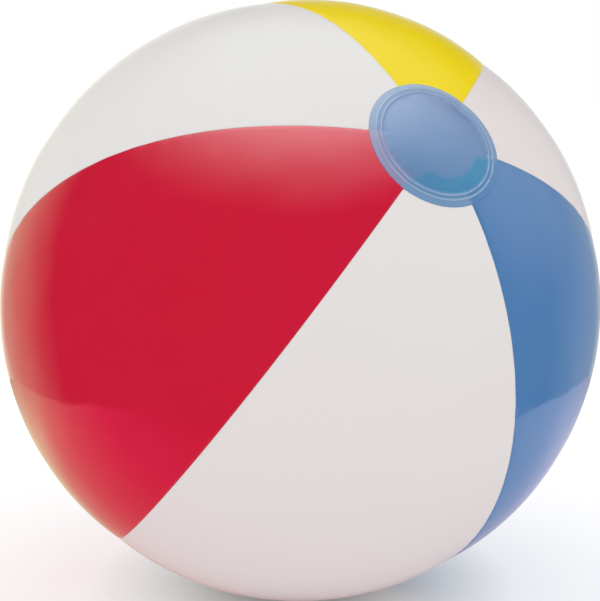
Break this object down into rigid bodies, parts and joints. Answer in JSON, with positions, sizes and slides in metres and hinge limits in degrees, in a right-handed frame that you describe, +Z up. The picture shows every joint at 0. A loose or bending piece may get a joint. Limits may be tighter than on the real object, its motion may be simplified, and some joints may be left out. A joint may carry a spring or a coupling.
{
  "type": "inflatable beach ball",
  "caption": "Light inflatable vinyl ball of coloured panels with round end discs and a push-in mouth valve, for beach and pool play.",
  "frame": {"origin": "centre of the inflated ball", "axes": "+Z up, -Z towards the point that rests on the ground, -Y towards the viewer in front; the polar axis through the two end discs leans 54.4 degrees from +Z and turns 61.5 degrees clockwise from +X seen from above"},
  "size_m": [0.4, 0.4, 0.4],
  "materials": {
    "red_film": "glossy vinyl film",
    "white_film": "glossy vinyl film, faintly translucent",
    "blue_film": "glossy vinyl film",
    "yellow_film": "glossy vinyl film",
    "disc_film": "glossy translucent vinyl film",
    "valve_clear": "soft clear moulded vinyl"
  },
  "bodies": {
    "ball": {"panel_blue": "blue_film", "panel_white_right": "white_film", "panel_yellow": "yellow_film", "panel_white_left": "white_film", "panel_red": "red_film", "panel_white_front": "white_film", "end_disc_upper": "disc_film", "end_disc_lower": "disc_film", "valve_flange": "valve_clear", "valve_skirt": "valve_clear"},
    "stem": {"valve_stem": "valve_clear", "plug_strap": "valve_clear"},
    "plug": {"stopper_plug": "valve_clear"},
    "flap": {"check_flap": "valve_clear"}
  },
  "joints": [
    {"name": "valve_pop", "type": "slide", "parent": "ball", "child": "stem", "axis": [-0.8884, 0.3506, 0.2964], "range_m": [0, 0.018], "deforming": ["valve_skirt"]},
    {"name": "plug_swing", "type": "hinge", "parent": "stem", "child": "plug", "pos_m": [-0.17877, 0.06975, 0.05038], "axis": [-0.3426, -0.936, 0.0801], "range_deg": [0, 90]},
    {"name": "flap_swing", "type": "hinge", "parent": "stem", "child": "flap", "pos_m": [-0.16374, 0.06506, 0.0598], "axis": [-0.3426, -0.936, 0.0801], "range_deg": [0, 60], "stiffness_Nm_per_rad": 0.00002, "springref_deg": -11.46}
  ]
}
